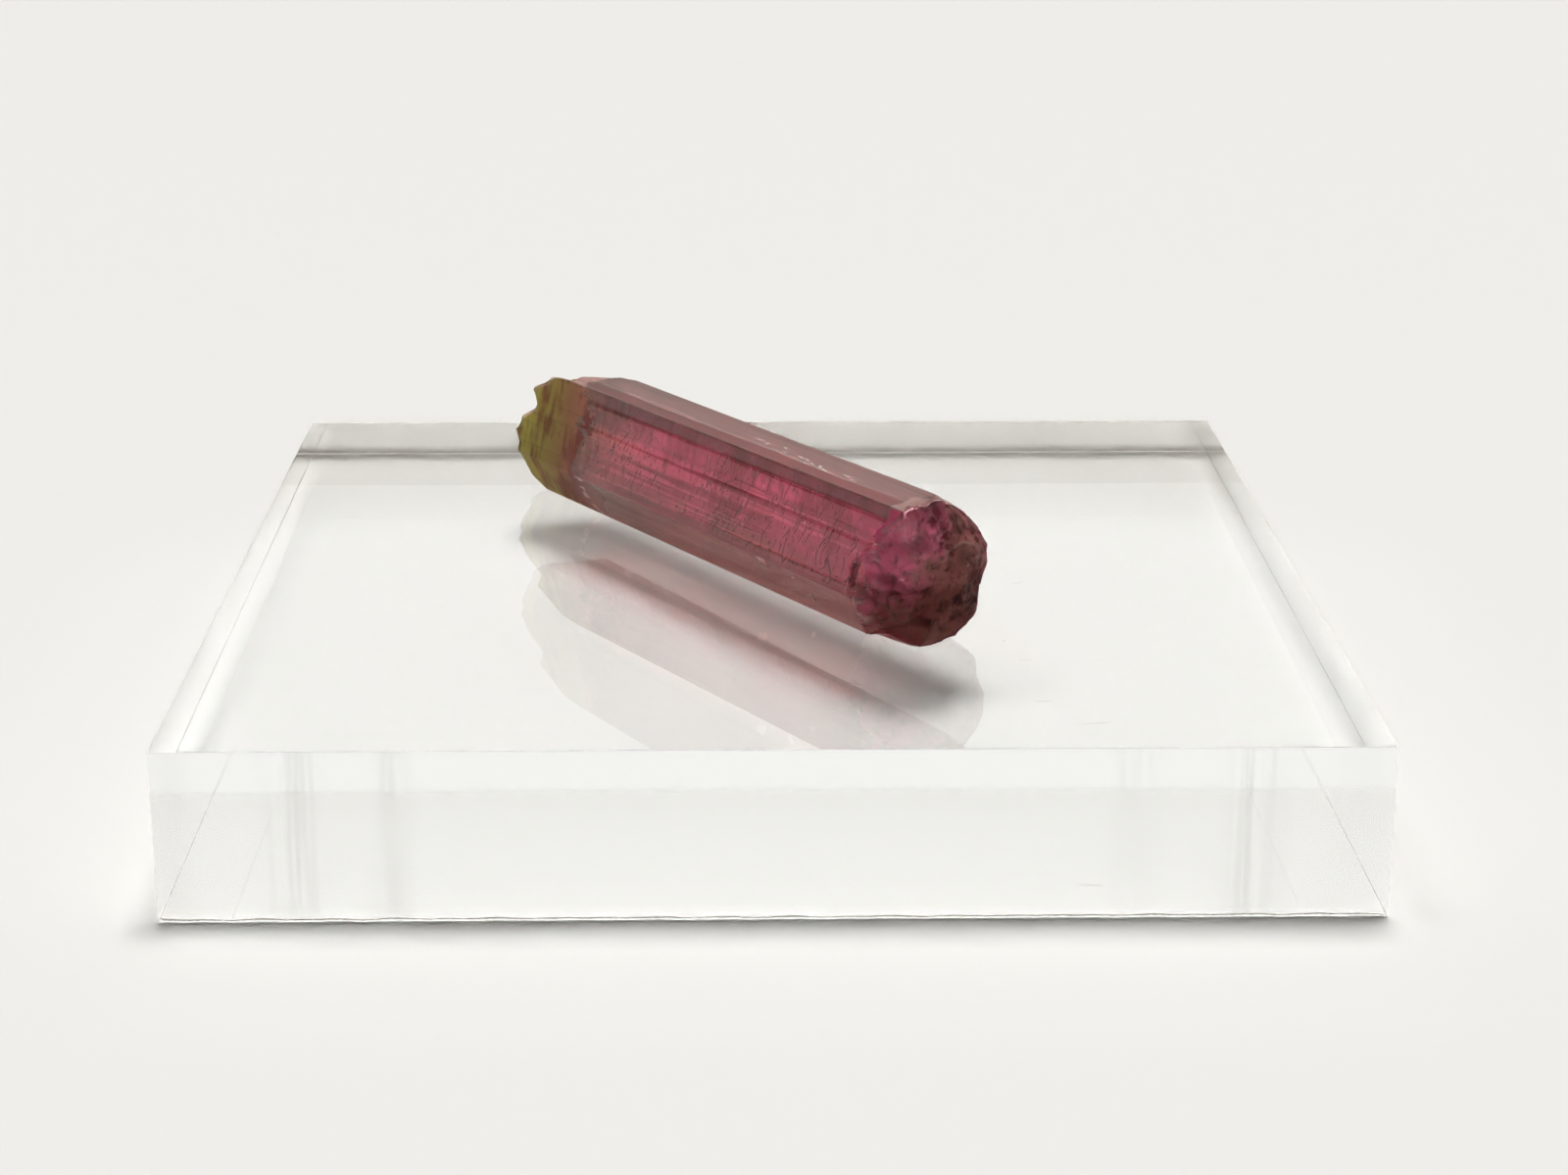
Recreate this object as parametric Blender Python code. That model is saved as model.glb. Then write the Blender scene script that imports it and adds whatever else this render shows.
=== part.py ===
"""A tourmaline crystal lying on the clear acrylic block that displays it.

The crystal is modelled along its own axis: x runs from the broken near end to the
green far end, y is sideways towards the front face, and z is the height over the block.
"""

import math

import bmesh
import bpy
from mathutils import Vector, noise

MM = 0.001

# Display block, sawn square from clear sheet
BLOCK_SIDE = 63.5 * MM
BLOCK_THICKNESS = 9.4 * MM
BLOCK_CHAMFER = 0.25 * MM

# Where the crystal lies on the block
CRYSTAL_FOOT = Vector((5.80 * MM, -14.13 * MM, BLOCK_THICKNESS))
CRYSTAL_TURN = math.radians(124.07)
REST_GAP = 0.3 * MM

# Cross-section of the prism in mm, as (sideways, height), round from the bottom front edge
SECTION_CORNERS = (
    (0.0, 0.0),
    (1.65, 2.55),
    (0.53, 8.18),
    (-0.1, 8.43),
    (-2.3, 8.47),
    (-4.6, 7.05),
    (-6.0, 5.1),
    (-6.05, 4.0),
    (-4.75, 1.1),
    (-3.3, 0.0),
)
SECTION_CENTRE = (-2.2, 4.2)
OUTLINE_STEP = 0.31
GROOVE_DEPTH = 0.05
GROOVES_PER_MM = 1.9

# Where the prism's sides stop, in mm along the axis, by the direction seen from its centre
NEAR_RIM = (
    (-62, 0.0),
    (-23, -0.2),
    (0, -0.1),
    (30, -1.6),
    (57, -3.3),
    (90, -3.1),
    (135, -2.8),
    (180, -2.7),
    (235, -3.2),
    (275, -3.5),
    (290, -3.5),
)
FAR_RIM = (
    (-62, 35.4),
    (-48, 36.9),
    (-17, 36.9),
    (-6, 37.5),
    (7, 37.1),
    (25, 35.6),
    (40, 36.1),
    (52, 34.2),
    (58, 31.3),
    (87, 29.4),
    (95, 28.5),
    (130, 30.5),
    (183, 33.0),
    (260, 34.6),
)

# The broken ends: how far each bulges and how round it is
NEAR_PEAK = -4.15
NEAR_ROUNDNESS = 2.6
FAR_PEAK = 37.3
FAR_ROUNDNESS = 2.2

# The broken surface, in mm: lumps, grain on them, and how far and strongly it wears the sides
LUMP_HEIGHT = 0.5
LUMP_SPACING = 2.1
GRAIN_HEIGHT = 0.2
GRAIN_SPACING = 0.8
WEAR_REACH = 0.8
WEAR_DEPTH = 0.1
RIM_SHARE = 0.9

BODY_RINGS = 26
END_RINGS = 12

# Surface finishes
CRYSTAL_COLOUR = (0.38, 0.10, 0.15, 1.0)
CRYSTAL_ROUGHNESS = 0.18
BLOCK_COLOUR = (0.93, 0.95, 0.95, 1.0)
BLOCK_ROUGHNESS = 0.04


def clear_scene():
    for thing in list(bpy.data.objects):
        bpy.data.objects.remove(thing, do_unlink=True)


def clear_material(name, colour, roughness):
    material = bpy.data.materials.new(name)
    material.use_nodes = True
    shader = material.node_tree.nodes["Principled BSDF"]
    shader.inputs["Base Color"].default_value = colour
    shader.inputs["Roughness"].default_value = roughness
    shader.inputs["Metallic"].default_value = 0.0
    shader.inputs["Transmission Weight"].default_value = 0.8
    return material


def add_object(name, mesh, material):
    mesh.materials.append(material)
    thing = bpy.data.objects.new(name, mesh)
    bpy.context.scene.collection.objects.link(thing)
    return thing


def smooth_step(share):
    share = min(max(share, 0.0), 1.0)
    return share * share * (3 - 2 * share)


def read_rim(rim, angle):
    """The rim's place along the axis in a direction in degrees, eased from point to point."""
    turned = (angle - rim[0][0]) % 360 + rim[0][0]
    closed = rim + ((rim[0][0] + 360, rim[0][1]),)
    for (start, before), (end, after) in zip(closed, closed[1:]):
        if turned <= end:
            return before + (after - before) * smooth_step((turned - start) / (end - start))
    return rim[0][1]


def section_outline():
    """Points round the prism in mm, with the lengthwise grooves of its faces."""
    points = []
    walked = 0.0
    following = SECTION_CORNERS[1:] + SECTION_CORNERS[:1]
    for start, end in zip(SECTION_CORNERS, following):
        along = Vector(end) - Vector(start)
        outward = Vector((along.y, -along.x)).normalized()
        steps = max(1, round(along.length / OUTLINE_STEP))
        for step in range(steps):
            share = step / steps
            place = (walked + along.length * share) * GROOVES_PER_MM
            groove = noise.noise(Vector((place, 0.0, 0.0))) if step else 0.0
            points.append(Vector(start) + along * share + outward * groove * GROOVE_DEPTH)
        walked += along.length
    return points


def end_point(point, shrink, rim, peak, roundness):
    """A point of a broken end, the share shrink of the way from its centre to its rim."""
    centre = Vector(SECTION_CENTRE)
    reach = point - centre
    edge = read_rim(rim, math.degrees(math.atan2(reach.y, reach.x)))
    return peak + (edge - peak) * shrink**roundness, centre + reach * shrink


def crystal_rings():
    """Rings of points from the near end, over the sides, to the far end, each with its wear."""
    outline = section_outline()
    near = (NEAR_RIM, NEAR_PEAK, NEAR_ROUNDNESS)
    far = (FAR_RIM, FAR_PEAK, FAR_ROUNDNESS)
    shares = [ring / END_RINGS for ring in range(1, END_RINGS)]
    rings = [[(*end_point(p, share, *near), 1.0) for p in outline] for share in shares]
    for ring in range(BODY_RINGS + 1):
        # rings crowd towards both ends, where the rims are worn
        share = 0.5 - 0.5 * math.cos(math.pi * ring / BODY_RINGS)
        row = []
        for point in outline:
            start = end_point(point, 1.0, *near)[0]
            finish = end_point(point, 1.0, *far)[0]
            along = start + (finish - start) * share
            clear = min(along - start, finish - along)
            row.append((along, point, RIM_SHARE * (1 - smooth_step(clear / WEAR_REACH))))
        rings.append(row)
    rings += [[(*end_point(p, share, *far), 1.0) for p in outline] for share in reversed(shares)]
    return rings


def broken_relief(place, wear):
    """Height in mm of the worn surface over a smooth one, at a point in mm."""
    coarse = noise.noise(place / LUMP_SPACING)
    fine = noise.noise(place / GRAIN_SPACING)
    relief = coarse * LUMP_HEIGHT + fine * GRAIN_HEIGHT - WEAR_DEPTH
    # the ends rise and fall, while the prism's sides are only chipped inwards
    return relief if wear == 1.0 else min(relief, 0.0) * wear


def crystal_mesh():
    shape = bmesh.new()
    wear_layer = shape.verts.layers.float.new("wear")

    def add_point(along, spot, wear):
        vertex = shape.verts.new((along, spot[0], spot[1]))
        vertex[wear_layer] = wear
        return vertex

    rings = [[add_point(*place) for place in row] for row in crystal_rings()]
    for first, second in zip(rings, rings[1:]):
        for i in range(len(first)):
            j = (i + 1) % len(first)
            shape.faces.new((first[i], first[j], second[j], second[i]))
    for row, peak in ((rings[0], NEAR_PEAK), (rings[-1], FAR_PEAK)):
        tip = add_point(peak, SECTION_CENTRE, 1.0)
        for i in range(len(row)):
            shape.faces.new((row[i], row[(i + 1) % len(row)], tip))
    bmesh.ops.recalc_face_normals(shape, faces=shape.faces)
    shape.normal_update()
    moves = [(v, v.normal * broken_relief(v.co, v[wear_layer])) for v in shape.verts]
    for vertex, move in moves:
        vertex.co = (vertex.co + move) * MM
        vertex.co.z = max(vertex.co.z, REST_GAP)
    bmesh.ops.triangulate(shape, faces=shape.faces)
    mesh = bpy.data.meshes.new("tourmaline_crystal")
    shape.to_mesh(mesh)
    shape.free()
    return mesh


def add_crystal():
    finish = clear_material("tourmaline", CRYSTAL_COLOUR, CRYSTAL_ROUGHNESS)
    crystal = add_object("tourmaline_crystal", crystal_mesh(), finish)
    crystal.location = CRYSTAL_FOOT
    crystal.rotation_euler = (0.0, 0.0, CRYSTAL_TURN)


def add_block():
    shape = bmesh.new()
    bmesh.ops.create_cube(shape, size=1.0)
    bmesh.ops.scale(shape, verts=shape.verts, vec=(BLOCK_SIDE, BLOCK_SIDE, BLOCK_THICKNESS))
    mesh = bpy.data.meshes.new("display_block")
    shape.to_mesh(mesh)
    shape.free()
    block = add_object("display_block", mesh, clear_material("acrylic", BLOCK_COLOUR, BLOCK_ROUGHNESS))
    block.location = (0.0, 0.0, BLOCK_THICKNESS / 2)
    bevel = block.modifiers.new("chamfer", "BEVEL")
    bevel.width = BLOCK_CHAMFER
    bevel.segments = 1


clear_scene()
add_block()
add_crystal()
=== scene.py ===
"""The looks of a tourmaline crystal lying on the clear acrylic block that displays it.

The crystal is shaped along its own axis: x runs from the broken near end to the green far
end, y is sideways towards the front face, and z is the height over the block.
"""

import math
import random

import bmesh
import bpy
from mathutils import Matrix, Vector, noise


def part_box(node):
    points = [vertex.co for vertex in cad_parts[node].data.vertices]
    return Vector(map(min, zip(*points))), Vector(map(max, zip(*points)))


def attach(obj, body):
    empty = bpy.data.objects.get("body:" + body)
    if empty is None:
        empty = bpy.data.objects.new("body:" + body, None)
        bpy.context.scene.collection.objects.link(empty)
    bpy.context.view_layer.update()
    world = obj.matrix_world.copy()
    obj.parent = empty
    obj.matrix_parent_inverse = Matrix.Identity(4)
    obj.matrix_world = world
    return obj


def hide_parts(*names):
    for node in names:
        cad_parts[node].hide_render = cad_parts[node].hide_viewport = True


bl_info = {
    "name": "Tourmaline on a display block",
    "version": (1, 0, 0),
    "blender": (4, 5, 0),
    "location": "3D View > Sidebar > Specimen",
    "description": "Builds a zoned tourmaline crystal, its inclusions and its acrylic block",
    "category": "Add Mesh",
}

MM = 0.001

# Noise vectors would start from the clock without a seed
noise.seed_set(5)

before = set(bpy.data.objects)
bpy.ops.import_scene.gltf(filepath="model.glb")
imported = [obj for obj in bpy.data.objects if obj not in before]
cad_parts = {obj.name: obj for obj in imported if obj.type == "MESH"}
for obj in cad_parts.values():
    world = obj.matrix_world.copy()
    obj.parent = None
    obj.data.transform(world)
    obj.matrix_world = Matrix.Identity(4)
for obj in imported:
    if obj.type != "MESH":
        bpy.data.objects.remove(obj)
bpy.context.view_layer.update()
BLOCK_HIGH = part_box("display_block")[1]

# Where the crystal lies, and how close its underside comes to the block
CRYSTAL_FOOT = Vector((5.80 * MM, -14.13 * MM, BLOCK_HIGH.z))
CRYSTAL_TURN = math.radians(124.07)
REST_FILM = 0.02 * MM

# Places along the axis, in mm: where the tip's and the broken end's finishes start, and the middle
TIP_START = 29.3
NEAR_BREAK = -0.6
MIDDLE = 15.0

# Cross-section of the prism in mm, as (sideways, height), round from the bottom front edge
SECTION_CORNERS = (
    (0.12, 0.0),
    (0.38, 0.1),
    (1.65, 2.55),
    (0.53, 8.18),
    (-0.1, 8.43),
    (-2.3, 8.47),
    (-4.6, 7.05),
    (-6.0, 5.1),
    (-6.05, 4.0),
    (-4.75, 1.1),
    (-3.3, 0.0),
)
SECTION_CENTRE = (-2.2, 4.2)

# Where the prism's sides stop, in mm along the axis, by the direction seen from its centre
NEAR_RIM = (
    (-62, 0.0),
    (-23, -0.2),
    (0, -0.1),
    (30, -1.6),
    (57, -3.3),
    (90, -3.1),
    (135, -2.8),
    (180, -2.8),
    (235, -3.3),
    (275, -3.5),
    (290, -3.5),
)
FAR_RIM = (
    (-62, 35.4),
    (-48, 36.9),
    (-17, 36.9),
    (-6, 37.5),
    (7, 37.1),
    (25, 35.6),
    (40, 36.1),
    (52, 34.2),
    (58, 31.3),
    (87, 29.4),
    (95, 28.5),
    (130, 30.5),
    (183, 33.0),
    (260, 34.6),
)
# The broken ends, as (rim, place of the peak, roundness)
NEAR_END = (NEAR_RIM, -4.15, 2.6)
FAR_END = (FAR_RIM, 37.3, 2.2)

# Grooves along the prism's sides, and how far from its edges they fade, in mm
GROOVES_PER_MM = 1.9
GROOVE_FADE = 0.3

# Relief of the broken surface in mm, how far it wears the prism's sides, and how the rim is rounded
LUMP_SPACING = 2.1
GRAIN_SPACING = 0.8
GRAIN_HEIGHT = 0.12
WEAR_DEPTH = 0.06
WEAR_REACH = 0.8
RIM_PULL = 0.14
RIM_SHARE = 0.3

# Flaws seen through the front face, in mm, as paths of (along, height)
CROSS_CRACKS = (
    ((0.75, 7.93), (1.78, 7.05), (2.32, 6.31), (2.5, 5.65), (3.44, 4.64), (3.76, 3.77)),
    ((4.59, 7.67), (4.88, 6.7)),
    ((3.67, 6.77), (4.08, 5.88)),
    ((6.45, 4.45), (6.8, 3.63), (6.73, 3.02), (6.44, 2.75)),
    ((3.79, 4.55), (3.55, 3.21)),
    ((2.68, 4.32), (1.89, 2.85)),
    ((24.44, 4.67), (24.1, 3.9), (23.94, 2.95)),
    ((19.91, 7.55), (19.73, 6.94)),
)
LONG_CRACKS = (((15.18, 4.54), (9.47, 4.63)), ((23.89, 4.8), (17.5, 4.62)), ((12.4, 3.75), (9.9, 3.85)))
DARK_SPECKS = (
    (12.14, 7.17), (8.26, 3.55), (8.14, 3.12), (9.03, 3.12), (8.01, 5.78), (18.3, 6.12), (17.08, 5.98),
    (15.04, 5.51), (14.03, 6.7), (13.35, 5.76), (17.93, 3.35), (21.64, 5.55), (18.26, 6.15),
    (24.28, 6.84), (5.1, 5.13),
)
# Painted glints on the front face, in mm, as (along, height)
FACE_GLINTS = ((30.41, 5.63), (9.6, 6.49), (5.19, 5.44), (12.0, 3.95), (11.0, 3.88), (10.2, 3.97))
# Pale growth lines low on the front face, in mm, as (near end, far end, height)
PALE_LINES = (
    (9.0, 17.5, 3.75), (9.8, 15.0, 3.98), (8.2, 12.5, 4.2), (12.0, 19.5, 3.45), (10.5, 14.0, 3.2),
    (21.0, 27.5, 5.1), (19.0, 24.0, 4.15), (16.0, 20.0, 4.35),
)
# Pale chips on the top face, which also stand as painted glints, in mm, as (along, sideways, length)
TOP_CHIPS_AND_GLINTS = (
    (12.78, -0.85, 0.7), (11.37, -0.64, 0.5), (9.78, -0.37, 0.8), (9.84, -0.96, 0.6), (8.0, -0.71, 0.7),
    (7.61, -0.56, 0.5), (6.6, -0.26, 0.45), (6.04, -0.34, 0.5), (4.94, -0.17, 0.8), (3.56, -0.39, 0.5),
    (2.45, -0.27, 0.4), (-1.22, -1.06, 0.35),
)
# Pale lines along the top, painted highlights of its growth lines, in mm, as (near end, far end, sideways)
TOP_HIGHLIGHT_LINES = (
    (0.5, 9.0, 0.0), (3.5, 14.0, -0.2), (12.0, 27.0, -0.1), (6.0, 17.0, -0.75), (14.0, 25.0, -1.2),
    (1.0, 8.0, -1.4), (16.0, 28.0, -0.45), (-1.0, 5.0, -0.6),
)
# Fine scratches on the block's top, in mm, as (x, y, length, heading in degrees)
BLOCK_SCRATCHES = (
    (13.1, -15.2, 0.5, 70), (14.0, -18.4, 0.8, 5), (14.8, -4.9, 0.9, 25), (19.5, 7.9, 1.8, -5),
    (-6.8, -23.4, 0.4, 20), (14.3, -24.9, 1.0, 0), (16.7, -28.2, 2.0, 8), (-19.0, -9.0, 0.5, 40),
)
# The broken near end, in mm: bumps and hollows as (sideways, height, radius, relief), and a ridge
END_BUMPS = (
    (-1.85, 8.0, 0.7, 0.2), (-0.75, 8.05, 0.4, 0.14), (-2.9, 7.45, 0.45, 0.14), (0.6, 3.95, 0.32, -0.22),
    (0.5, 3.0, 0.3, -0.2), (-1.13, 1.54, 0.25, -0.2), (-2.66, 2.87, 0.25, -0.2),
    (0.48, 3.17, 0.22, -0.15), (-0.76, 3.38, 0.25, -0.18), (-0.8, 1.58, 0.3, -0.12),
    (-3.1, 5.15, 0.5, -0.14), (-3.3, 4.62, 0.08, 0.05), (0.2, 4.0, 0.07, 0.04), (0.9, 4.85, 0.07, 0.04),
    (-2.0, 1.0, 0.3, -0.14), (-3.9, 2.2, 0.3, -0.14), (-0.3, 6.2, 0.6, -0.12), (-2.0, 6.9, 0.3, -0.14),
)
END_RIDGE = ((-1.22, 4.89), (-1.9, 5.58), (-2.98, 5.91), (-3.79, 5.67), (-4.27, 5.17))
END_REACH = 1.0
HOLLOW_SHARE = 0.4
# painted shade: how much darker a bump or hollow is painted per mm of its relief
BUMP_SHADE = 3.2
GLINT_RADIUS = 0.25
# painted glint: how pale a small raised bump is painted
GLINT_HIGHLIGHT = 0.8
RIDGE_WIDTH = 0.16
RIDGE_HEIGHT = 0.06
# painted highlight along the ridge
RIDGE_HIGHLIGHT = 0.22

# Seeded flecks inside the crystal, and how far a sliver reaches into and out of the surface it lies on
FLECK_COUNT = 900
SLIVER_DEPTH = 4
SLIVER_RISE = 0.3

# Painted highlights along the prism's edges, standing for light caught by the edges and their pale chips,
# as (corner of the cross-section, width in mm, strength)
EDGE_HIGHLIGHTS = ((3, 0.12, 1.2), (4, 0.11, 0.8), (2, 0.09, 0.25), (5, 0.08, 0.3))

# How wide each of the block's edges is scraped, under and on top: front, right, back and left
CHAMFER_SHARES = ((4.2, 0.4, 0.25, 0.4), (0.4, 0.3, 0.15, 0.3))

BLOCK_POINTS_PER_SIDE = 160
WAVER_LENGTH = 1.7 * MM

# The crystal's three finishes, as (name, clearness, frost, gloss)
BODY_CLEARNESS = 0.8
CRYSTAL_FINISHES = (
    ("tourmaline", BODY_CLEARNESS, 0.0, 0.8),
    ("tourmaline_tip", 0.45, 0.25, 0.2),
    ("tourmaline_broken", 0.5, 0.4, 0.3),
)
TOURMALINE_IOR = 1.63
TOURMALINE_ABSORPTION = ((0.72, 0.16, 0.30, 1.0), 140.0)

# The stretch of the crystal that its colour ramp covers, in mm along the axis
ZONES_FROM = -5.0
ZONES_TO = 40.0

# Colours of the crystal beside those of its settings. A tint darkens what is under it.
WARM_ROSE = (0.76, 0.15, 0.18, 1.0)
RUSSET = (0.60, 0.19, 0.11, 1.0)
MOSS = (0.44, 0.36, 0.06, 1.0)
PAINTED_TOP_SHEEN = (0.76, 0.46, 0.42, 1.0)
LOWER_FRONT = (0.92, 0.30, 0.30, 1.0)
PAINTED_BEVEL_SHEEN = (1.0, 0.56, 0.51)
PAINTED_UNDERSIDE_SHADE = (0.36, 0.08, 0.055, 1.0)
PAINTED_HIGHLIGHT = (0.80, 0.60, 0.56, 1.0)
MOTTLE_TINT = (0.50, 0.24, 0.30, 1.0)
SHOULDER_SHADE_TINT = (0.75, 0.5, 0.52, 1.0)
DARK_STAIN_AND_SHADE_TINT = (0.12, 0.03, 0.04, 1.0)

# Colours of the broken near end, on its browner right and its pinker left
TORN_BROWN = (0.42, 0.16, 0.13, 1.0)
TORN_PINK = (0.96, 0.22, 0.36, 1.0)
VEIL_BROWN = (0.42, 0.25, 0.19, 1.0)
VEIL_PINK = (0.95, 0.40, 0.50, 1.0)
VEIN_BROWN = (0.55, 0.38, 0.30, 1.0)
VEIN_PINK = (0.95, 0.50, 0.55, 1.0)
PIT_TINT = (0.28, 0.14, 0.16, 1.0)
LOW_END_SHADE_TINT = (0.40, 0.30, 0.28, 1.0)

# Scales of the crystal's noise per metre, some of them by axis
CLOUD_SCALE = 380.0
GRAIN_SCALE = 1700.0
BAND_SCALES = (1900, 300, 420)
LINE_SCALES = (120, 6000, 6000)
WOBBLE_SCALE = 1500.0
WOBBLE_REACH = 0.7 * MM
CRACKLE_SCALE = 1100.0

# Colours of the flaws and chips, each between two
WINE_FLAWS = ((0.05, 0.008, 0.012, 1.0), (0.12, 0.02, 0.03, 1.0))
PALE_CHIPS_AND_GLINTS = ((0.90, 0.80, 0.66, 1.0), (0.95, 0.74, 0.72, 1.0))

# The acrylic block: its clear sheet, its scraped edges, its tool marks and its scratches
ACRYLIC_IOR = 1.49
ACRYLIC_ABSORPTION = ((0.80, 0.92, 0.92, 1.0), 1.0)
CLEAR_SHEET = (0.998, 1.0, 0.998, 1.0)
SCRAPED = (0.97, 0.97, 0.96, 1.0)
SCRAPED_DARK = (0.70, 0.70, 0.69, 1.0)
SCRAPED_LIGHT = (1.0, 1.0, 0.99, 1.0)
MARK_GREY = (0.74, 0.74, 0.73, 1.0)
MARK_SCALES = (2600, 2600, 70)
MARK_PLACE = 24.6
SCRATCH_GREYS = ((0.42, 0.41, 0.38, 1.0), (0.60, 0.59, 0.56, 1.0))

# Where the photograph was taken from: angles in degrees, focal length and place in mm
CAMERA_ANGLES = (18.324, 1.131, 0.151)
CAMERA_FOCAL_LENGTH = 68.34
CAMERA_PLACE = (-2.3585, -172.404, 64.650)

# The sheet of paper that the block stands on
PAPER = (0.81, 0.80, 0.775, 1.0)
PAPER_HALF_WIDTH = 1.5
PAPER_GAP = 0.05 * MM

# Light of the walls behind and in front of the object, by the sine of the height angle
BACK_WALL = (
    (0.0, (0.42, 0.38, 0.32, 1.0)),
    (0.27, (0.42, 0.38, 0.32, 1.0)),
    (0.295, (0.93, 0.92, 0.89, 1.0)),
    (0.34, (0.93, 0.92, 0.89, 1.0)),
    (0.42, (0.94, 0.93, 0.90, 1.0)),
    (0.50, (0.03, 0.03, 0.03, 1.0)),
)
FRONT_WALL = (
    (0.0, (0.21, 0.17, 0.12, 1.0)),
    (0.27, (0.21, 0.17, 0.12, 1.0)),
    (0.29, (0.85, 0.82, 0.76, 1.0)),
    (0.35, (0.85, 0.82, 0.76, 1.0)),
    (0.37, (0.36, 0.33, 0.28, 1.0)),
    (0.50, (0.02, 0.02, 0.02, 1.0)),
)

# Ceiling lamps, as (direction, half its width in degrees, brightness against white walls)
LAMPS = (((0.06, 0.22, 0.965), 9.5, 30.7), ((-0.34, 0.05, 0.93), 6.0, 12.5))
LAMP_EDGE = 0.00125


def smooth_step(share):
    share = min(max(share, 0.0), 1.0)
    return share * share * (3 - 2 * share)


def near_path(spot, path):
    """Distance from a spot to a path of straight runs."""
    best = math.inf
    for start, end in zip(path, path[1:]):
        start, end = Vector(start), Vector(end)
        run = end - start
        share = min(max((spot - start).dot(run) / run.length_squared, 0.0), 1.0)
        best = min(best, (spot - start - run * share).length)
    return best


class CrystalSettings(bpy.types.PropertyGroup):
    """Sizes and colours of the crystal."""

    outline_step: bpy.props.FloatProperty(
        name="Outline step", description="Distance between points round the prism, in mm",
        default=0.075, min=0.05, max=1.0)
    body_rings: bpy.props.IntProperty(
        name="Body rings", description="Rings of points along the prism's sides", default=150, min=8)
    end_rings: bpy.props.IntProperty(
        name="End rings", description="Rings of points on each broken end", default=44, min=4)
    groove_depth: bpy.props.FloatProperty(
        name="Groove depth", description="Depth of the widest lengthwise grooves, in mm",
        default=0.02, min=0.0)
    line_depth: bpy.props.FloatProperty(
        name="Line depth", description="Depth of the fine lengthwise growth lines, in mm",
        default=0.004, min=0.0)
    lump_height: bpy.props.FloatProperty(
        name="Lump height", description="Height of the lumps of the broken ends, in mm",
        default=0.34, min=0.0)
    rose: bpy.props.FloatVectorProperty(
        name="Rose", description="Colour of the body", subtype="COLOR", size=4,
        default=(0.92, 0.12, 0.28, 1.0), min=0.0, max=1.0)
    mauve: bpy.props.FloatVectorProperty(
        name="Mauve", description="Colour near the broken end", subtype="COLOR", size=4,
        default=(0.76, 0.10, 0.25, 1.0), min=0.0, max=1.0)
    brown: bpy.props.FloatVectorProperty(
        name="Brown", description="Colour between the body and the tip", subtype="COLOR", size=4,
        default=(0.42, 0.19, 0.075, 1.0), min=0.0, max=1.0)
    olive: bpy.props.FloatVectorProperty(
        name="Olive", description="Colour of the tip", subtype="COLOR", size=4,
        default=(0.62, 0.58, 0.08, 1.0), min=0.0, max=1.0)


class BlockSettings(bpy.types.PropertyGroup):
    """Sizes of the block's worked edges."""

    chamfer: bpy.props.FloatProperty(
        name="Chamfer", description="Width of the scraped edges", subtype="DISTANCE", unit="LENGTH",
        default=0.05 * MM, min=0.0)


class StageSettings(bpy.types.PropertyGroup):
    """Strength of the light."""

    sky: bpy.props.FloatProperty(
        name="Sky", description="Strength of the light from all round", default=1.0, min=0.0)


class Shade:
    """A socket in a material's node tree. Arithmetic on it adds Math nodes."""

    def __init__(self, tree, socket=None):
        self.tree = tree
        self.socket = socket

    def node(self, kind, settings=None, inputs=None, outlet=0):
        """Adds a node, sets it, then fills its sockets with numbers or other sockets."""
        made = self.tree.nodes.new(kind)
        for name, value in (settings or {}).items():
            if name == "stops":
                self.set_stops(made.color_ramp, value)
            else:
                setattr(made, name, value)
        for name, value in (inputs or {}).items():
            self.feed(made.inputs[name], value)
        return Shade(self.tree, made.outputs[outlet] if made.outputs else None)

    def feed(self, socket, value):
        if isinstance(value, Shade):
            self.tree.links.new(value.socket, socket)
        else:
            socket.default_value = value

    @staticmethod
    def set_stops(ramp, stops):
        while len(ramp.elements) < len(stops):
            ramp.elements.new(0.5)
        for element, (place, colour) in zip(ramp.elements, stops):
            element.position = place
            element.color = colour

    def maths(self, operation, *values):
        return self.node("ShaderNodeMath", {"operation": operation}, dict(enumerate(values)))

    def __add__(self, other):
        return self.maths("ADD", self, other)

    def __radd__(self, other):
        return self.maths("ADD", other, self)

    def __sub__(self, other):
        return self.maths("SUBTRACT", self, other)

    def __rsub__(self, other):
        return self.maths("SUBTRACT", other, self)

    def __mul__(self, other):
        return self.maths("MULTIPLY", self, other)

    def __rmul__(self, other):
        return self.maths("MULTIPLY", other, self)

    def __pow__(self, other):
        return self.maths("POWER", self, other)

    def __abs__(self):
        return self.maths("ABSOLUTE", self)

    def clipped(self):
        """This kept between 0 and 1."""
        return self.node("ShaderNodeClamp", None, {"Value": self})

    def fade(self, start, end):
        """0 where this is at start or before it, rising to 1 at end and beyond."""
        return ((self - start) * (1 / (end - start))).clipped()

    def blend(self, start, end):
        """The colour start where this is 0 and end where it is 1."""
        return self.node("ShaderNodeMix", {"data_type": "RGBA"}, {0: self, 6: start, 7: end}, 2)

    def tinted(self, tint):
        """This colour multiplied by another."""
        settings = {"data_type": "RGBA", "blend_type": "MULTIPLY"}
        return self.node("ShaderNodeMix", settings, {0: 1.0, 6: self, 7: tint}, 2)

    def part(self, axis):
        """One of the three numbers of this vector, by the letter of its axis."""
        return self.node("ShaderNodeSeparateXYZ", None, {"Vector": self}, axis)

    def noise(self, scale, detail, outlet=0):
        """Noise at this place, finer for a larger scale, which may be given by axis."""
        place = self
        if isinstance(scale, tuple):
            place = self.node("ShaderNodeMapping", None, {"Vector": self, "Scale": scale})
            scale = 1.0
        inputs = {"Vector": place, "Scale": scale, "Detail": detail}
        return self.node("ShaderNodeTexNoise", None, inputs, outlet)

    def attribute(self, name):
        """A number that the mesh holds for each of its points."""
        return self.node("ShaderNodeAttribute", {"attribute_name": name}, outlet="Fac")


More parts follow.
